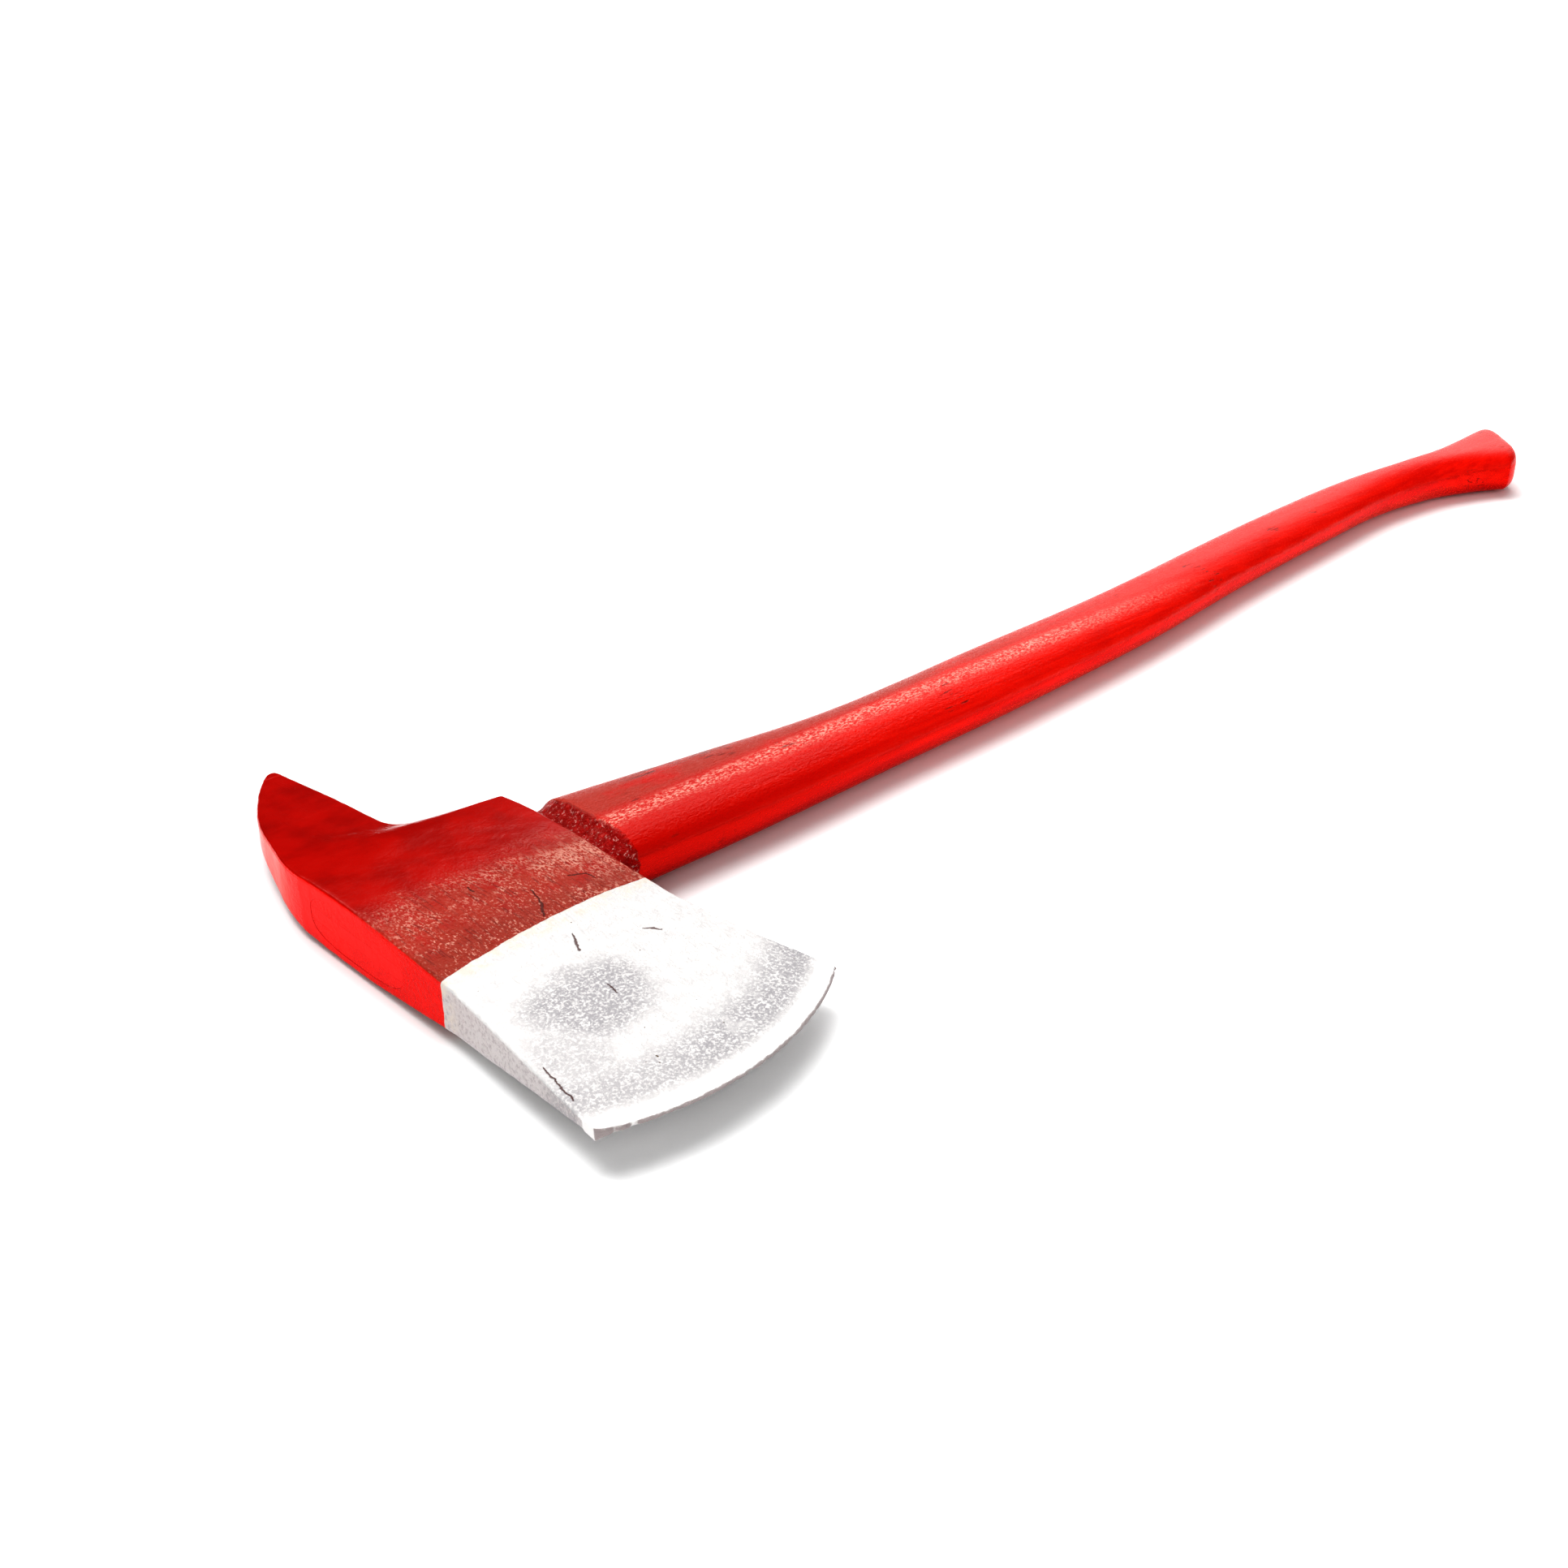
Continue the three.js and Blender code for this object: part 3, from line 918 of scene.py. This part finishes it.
def relief_on_head(n, pebble, smooth_zone, silver, cracks, from_edge):
    """A pebbled and filed surface, smoother on the pick's side of the eye, with sunken cracks."""
    n.bump(pebble, 0.80, n.blend(smooth_zone, 0.8, 0.10))
    n.bump(n.noise(5, 3, 0.5), 1.0, n.blend(smooth_zone, 0.4, 0.2))
    n.bump(n.noise(0.9, 2, 0.5, stretch=(1, 16, 1)), 0.35, n.blend(smooth_zone, 0.5, 0.15))
    n.bump(n.times(silver, -1.0), 0.12, 0.9)
    n.bump(n.times(cracks, -1.0), 0.25, 0.9)
    bristles = n.both(n.noise(0.7, 2, 0.5, stretch=(1, 8, 1), shift=3.0), n.band(from_edge, 8, 6.5))
    n.bump(bristles, 0.2, 0.6)


def head_paint():
    """Gloss red over the eye and pick, aluminium paint over the bit, bare worn steel at the edge."""
    n = Nodes("head_enamel")
    past_line = past_paint_line(n)
    silver = n.band(past_line, -0.12, 0.12)
    from_edge = distance_from_edge(n)
    grey = grey_reflection_on_bit(n, from_edge)
    cracks = head_cracks(n)
    color = n.mix(silver, red_on_head(n), silver_on_head(n, from_edge, past_line, grey))
    color = damage_on_head(n, color, silver, from_edge, cracks)
    pebble = n.noise(1.5, 4, 0.6)
    smooth_zone = n.band(n.y, -14, 8)
    red_rough = n.blend(smooth_zone, n.blend(pebble, 0.16, 0.34), 0.13)
    silver_rough = n.blend(n.noise(2.0, 3, 0.6), 0.34, 0.52)
    roughness = n.blend(silver, red_rough, n.blend(grey, silver_rough, 0.55))
    relief_on_head(n, pebble, smooth_zone, silver, cracks, from_edge)
    red_side = n.both(n.band(n.facing, 0.5, 0.2), n.minus(1.0, silver))
    metallic = n.plus(n.times(silver, SILVER_METAL), n.times(red_side, SIDE_METAL))
    return n.finish(color, roughness, metallic, specular=SHEEN, tint=SHEEN_TINT)


def wood_grain(n):
    """Pale wood with its grain along the handle: colour and height."""
    ring = n.noise(5, 4, 0.6, stretch=(14, 1, 1), twist=0.6)
    pore = n.noise(0.7, 2, 0.6, stretch=(18, 1, 1))
    color = n.mix(n.band(ring, 0.35, 0.65), *PALE_WOOD)
    color = n.over(color, n.band(pore, 0.6, 0.75), 0.5, WOOD_PORE)
    return color, ring


def inside_eye(n):
    """1 on the bare wood or steel between the head's two faces, 0 where the paint reaches."""
    return n.both(n.band(n.x, *PAINTED_END_X[::-1]), n.band(n.x, *PAINTED_MOUTH_X))


def painted_end(n):
    """1 where the end of the handle and the wedges is painted with the head's top face."""
    return n.band(n.x, *PAINTED_END_X)


def red_on_handle(n, streak):
    """Brushed red, deeper near the head and paler with a ragged edge on the underside."""
    color = n.mix(n.band(streak, 0.3, 0.7), *HANDLE_RED)
    color = n.over(color, n.band(n.noise(38, 3), 0.45, 0.7), 0.4, CLOUDED_RED)
    color = n.over(color, n.band(n.x, 260, 20), 0.8, DEEP_RED)
    ragged_height = n.ragged(n.z, n.noise(5, 4, 0.6, stretch=(3, 1, 1)), 5.0)
    # Paler red in a band along the underside, with a ragged edge.
    low = n.both(n.band(ragged_height, -2.4, -2.8), n.band(n.x, 150, 260), n.band(n.x, 760, 690))
    return n.over(color, low, 0.5, UNDERSIDE_RED)


def dull_top_and_ridge_highlight(n, color):
    """Duller, darker red along the top of the handle near the head, with pale spots of painted highlight
    on the ridge beside it.
    """
    on_top = n.both(n.band(n.z, 5, 9), n.band(n.x, 420, 180))
    cloud = n.band(n.noise(14, 4, 0.6, stretch=(3, 1, 1)), 0.25, 0.5)
    # Duller, darker red in clouds along the top near the head.
    color = n.over(color, n.both(on_top, n.band(n.y, -7, 1), cloud), 0.8, DULL_TOP_RED)
    upper = n.both(n.band(n.y, -3, -7), n.band(n.y, -17, -10), n.band(n.z, 5, 9))
    ridge = n.both(upper, n.band(n.x, 460, 260))
    # Painted highlight: pale spots along the upper ridge near the head.
    spots = n.both(ridge, n.band(n.noise(0.9, 4, 0.75, stretch=(2, 1, 1), shift=5.0), 0.47, 0.60))
    return n.over(color, spots, 0.7, RIDGE_HIGHLIGHT)


def rasped_shoulder(n):
    """1 on the rasped shoulder between the head and the shaped handle."""
    ragged_x = n.plus(n.x, n.times(n.noise(4, 3), 3.0))
    return n.both(n.band(ragged_x, 14.2, 12.6), n.band(n.x, -4.0, -1.0))


def split_on_handle(n):
    """1 on short splits of the paint along the grain: on one upper ridge, and scattered."""
    dashes = n.band(n.noise(1.1, 2, 0.5, stretch=(11, 1, 1), shift=2.0), 0.585, 0.625)
    far_dashes = n.band(n.noise(1.5, 2, 0.5, stretch=(11, 1, 1), shift=4.0), 0.53, 0.58)
    far_ridge = n.both(n.band(n.y, 10, 13), n.band(n.z, 4, 6))
    far_edge = n.both(far_ridge, n.band(n.x, 30, 60), n.band(n.x, 300, 200))
    anywhere = n.times(n.band(n.noise(24, 3, 0.6, shift=2.0), 0.60, 0.68), 0.8)
    return n.larger(n.both(far_dashes, far_edge), n.both(dashes, anywhere))


def relief_on_handle(n, pebble, streak, shoulder, split):
    n.bump(pebble, 0.6, n.both(n.blend(n.band(n.x, 520, 200), 0.2, 0.8), n.band(n.upward, 0.25, 0.75)))
    n.bump(streak, 0.9, 0.15)
    n.bump(n.noise(0.8, 2, 0.5, stretch=(22, 1, 1)), 0.3, 0.35)
    n.bump(n.both(n.noise(3.2, 5, 0.7, twist=0.8), shoulder), 3.0, 1.0)
    n.bump(n.times(split, -1.0), 0.3, 0.9)


def handle_paint():
    """Brushed gloss red over shaped wood, dark on the rasped shoulder, bare inside the eye."""
    n = Nodes("handle_enamel")
    streak = n.noise(2.6, 4, 0.6, stretch=(26, 1, 1))
    pebble = n.noise(1.3, 4, 0.65, stretch=(1.8, 1, 1))
    shoulder = rasped_shoulder(n)
    glints = n.both(shoulder, n.band(n.noise(1.4, 3, 0.7, shift=6.0), 0.56, 0.66))
    split = split_on_handle(n)
    bare = inside_eye(n)
    wood, grain = wood_grain(n)
    color = dull_top_and_ridge_highlight(n, red_on_handle(n, streak))
    color = n.over(color, shoulder, 0.85, SHOULDER_RED)
    color = n.over(color, glints, 0.7, SHOULDER_GLINT)
    color = n.over(color, split, 0.85, SPLIT_PAINT)
    # The painted end takes the brighter painted-light copy of the red, as the head's narrow faces do.
    color = n.mix(painted_end(n), n.mix(bare, color, wood), side_lit_red(n))
    relief_on_handle(n, pebble, streak, shoulder, split)
    n.bump(n.both(grain, bare), 0.2, 0.5)
    roughness = n.blend(bare, n.blend(pebble, 0.14, 0.38), 0.7)
    low_side = n.both(n.band(n.upward, 0.34, 0.14), n.minus(1.0, bare))
    return n.finish(color, roughness, n.times(low_side, SIDE_METAL), specular=SHEEN, tint=SHEEN_TINT)


def wedge_wood():
    n = Nodes("oak")
    wood, grain = wood_grain(n)
    painted = painted_end(n)
    n.bump(grain, 0.2, 0.5)
    n.bump(n.noise(1.5, 4, 0.6), 0.3, 0.5)
    # The painted end takes the brighter painted-light copy of the red, as the head's narrow faces do.
    color = n.mix(painted, wood, side_lit_red(n))
    roughness = n.blend(painted, 0.7, PAINTED_END_ROUGHNESS)
    return n.finish(color, roughness, n.blend(painted, 0.0, SIDE_METAL), specular=SHEEN, tint=SHEEN_TINT)


def wedge_steel():
    n = Nodes("mild_steel")
    scale_marks = n.noise(3, 5, 0.65)
    brushed = n.noise(0.5, 2, 0.5, stretch=(20, 1, 1))
    steel = n.mix(n.band(scale_marks, 0.35, 0.7), *STEEL)
    painted = painted_end(n)
    n.bump(brushed, 0.08, 0.5)
    n.bump(n.noise(1.5, 4, 0.6), 0.3, 0.5)
    # The painted end takes the brighter painted-light copy of the red, as the head's narrow faces do.
    color = n.mix(painted, steel, side_lit_red(n))
    roughness = n.blend(painted, n.blend(scale_marks, 0.3, 0.6), PAINTED_END_ROUGHNESS)
    metallic = n.blend(painted, 0.95, SIDE_METAL)
    return n.finish(color, roughness, metallic, specular=SHEEN, tint=SHEEN_TINT)


def floor_paper():
    n = Nodes("floor_paper")
    fibre = n.noise(0.8, 3)
    n.bump(fibre, 0.02, 0.2)
    return n.finish(n.mix(fibre, *PAPER), 0.9)


# ---------------------------------------------------------------- studio

CAMERA_AIM = Vector((-0.2427, 0.0114, 0.0))
CAMERA_DISTANCE = 0.7721
CAMERA_AZIMUTH = -45.0
CAMERA_ELEVATION = 26.05
CAMERA_LENS = 40.06
FLOOR_SIZE = 60.0
FLOOR_GAP = 0.0002

# The studio's soft light as broad glows: azimuth, elevation, sharpness, brightness
GLOWS = (
    (131.0, 38.0, 80.0, 4.6),
    (188.0, 54.0, 30.0, 6.2),
    (150.0, 72.0, 20.0, 5.6),
    (114.0, 17.0, 18.0, 0.9),
    (-35.0, 12.0, 5.0, 2.1),
)
AMBIENT = 0.008
BACKDROP = 0.97


def direction(azimuth, elevation):
    a = math.radians(azimuth)
    e = math.radians(elevation)
    return Vector((math.sin(a) * math.cos(e), -math.cos(a) * math.cos(e), math.sin(e)))


def make_camera():
    data = bpy.data.cameras.new("camera")
    data.lens = CAMERA_LENS
    camera = bpy.data.objects.new("camera", data)
    camera.location = CAMERA_AIM + CAMERA_DISTANCE * direction(CAMERA_AZIMUTH, CAMERA_ELEVATION)
    camera.rotation_euler = (CAMERA_AIM - camera.location).to_track_quat("-Z", "Y").to_euler()
    bpy.context.scene.collection.objects.link(camera)
    bpy.context.scene.camera = camera


def make_floor():
    bpy.ops.mesh.primitive_plane_add(size=FLOOR_SIZE, location=(0, 0, HEAD_LOW.z - FLOOR_GAP))
    floor = bpy.context.object
    floor.name = "floor"
    floor.data.materials.append(floor_paper())


def world_maths(tree, kind, operation, *inputs):
    """The outputs of one maths node, fed with values or with other nodes' outputs."""
    node = tree.nodes.new(kind)
    node.operation = operation
    for socket, value in zip(node.inputs, inputs):
        if isinstance(value, bpy.types.NodeSocket):
            tree.links.new(value, socket)
        else:
            socket.default_value = value
    return node.outputs


def add_glow(tree, total, seen_from, azimuth, elevation, sharpness, brightness):
    """The light of the glows so far with one more, which fades smoothly round its middle."""
    middle = direction(azimuth, elevation)
    dot = world_maths(tree, "ShaderNodeVectorMath", "DOT_PRODUCT", seen_from, middle)["Value"]
    fall = math.log(brightness) - sharpness
    power = world_maths(tree, "ShaderNodeMath", "MULTIPLY_ADD", dot, sharpness, fall)[0]
    glow = world_maths(tree, "ShaderNodeMath", "EXPONENT", power)[0]
    return world_maths(tree, "ShaderNodeMath", "ADD", glow, total)[0]


def make_light():
    """A world of broad glows, so the floor is lit evenly out to the horizon."""
    world = bpy.data.worlds.new("studio")
    world.use_nodes = True
    tree = world.node_tree
    background = tree.nodes["Background"]
    coords = tree.nodes.new("ShaderNodeTexCoord")
    total = AMBIENT
    for glow in GLOWS:
        total = add_glow(tree, total, coords.outputs["Generated"], *glow)
    seen = tree.nodes.new("ShaderNodeMix")
    tree.links.new(tree.nodes.new("ShaderNodeLightPath").outputs["Is Camera Ray"], seen.inputs[0])
    tree.links.new(total, seen.inputs[2])
    seen.inputs[3].default_value = BACKDROP
    tree.links.new(seen.outputs[0], background.inputs["Strength"])
    background.inputs["Color"].default_value = (1, 1, 1, 1)
    bpy.context.scene.world = world
    bpy.context.scene.view_settings.view_transform = "Standard"
    bpy.context.scene.view_settings.look = "High Contrast"


# ---------------------------------------------------------------- assembly


def place_piece(piece, material, node):
    piece.data.materials.clear()
    piece.data.materials.append(material)
    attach(piece, "root")
    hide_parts(node)


make_camera()
make_floor()
make_light()
place_piece(make_head(), head_paint(), "axe_head")
place_piece(make_handle(), handle_paint(), "handle")
place_piece(make_wooden_wedge(), wedge_wood(), "wooden_wedge")
steel = wedge_steel()
for order, y in enumerate(STEEL_WEDGE_Y, 1):
    place_piece(make_steel_wedge(order, y), steel, f"steel_wedge_{order}")
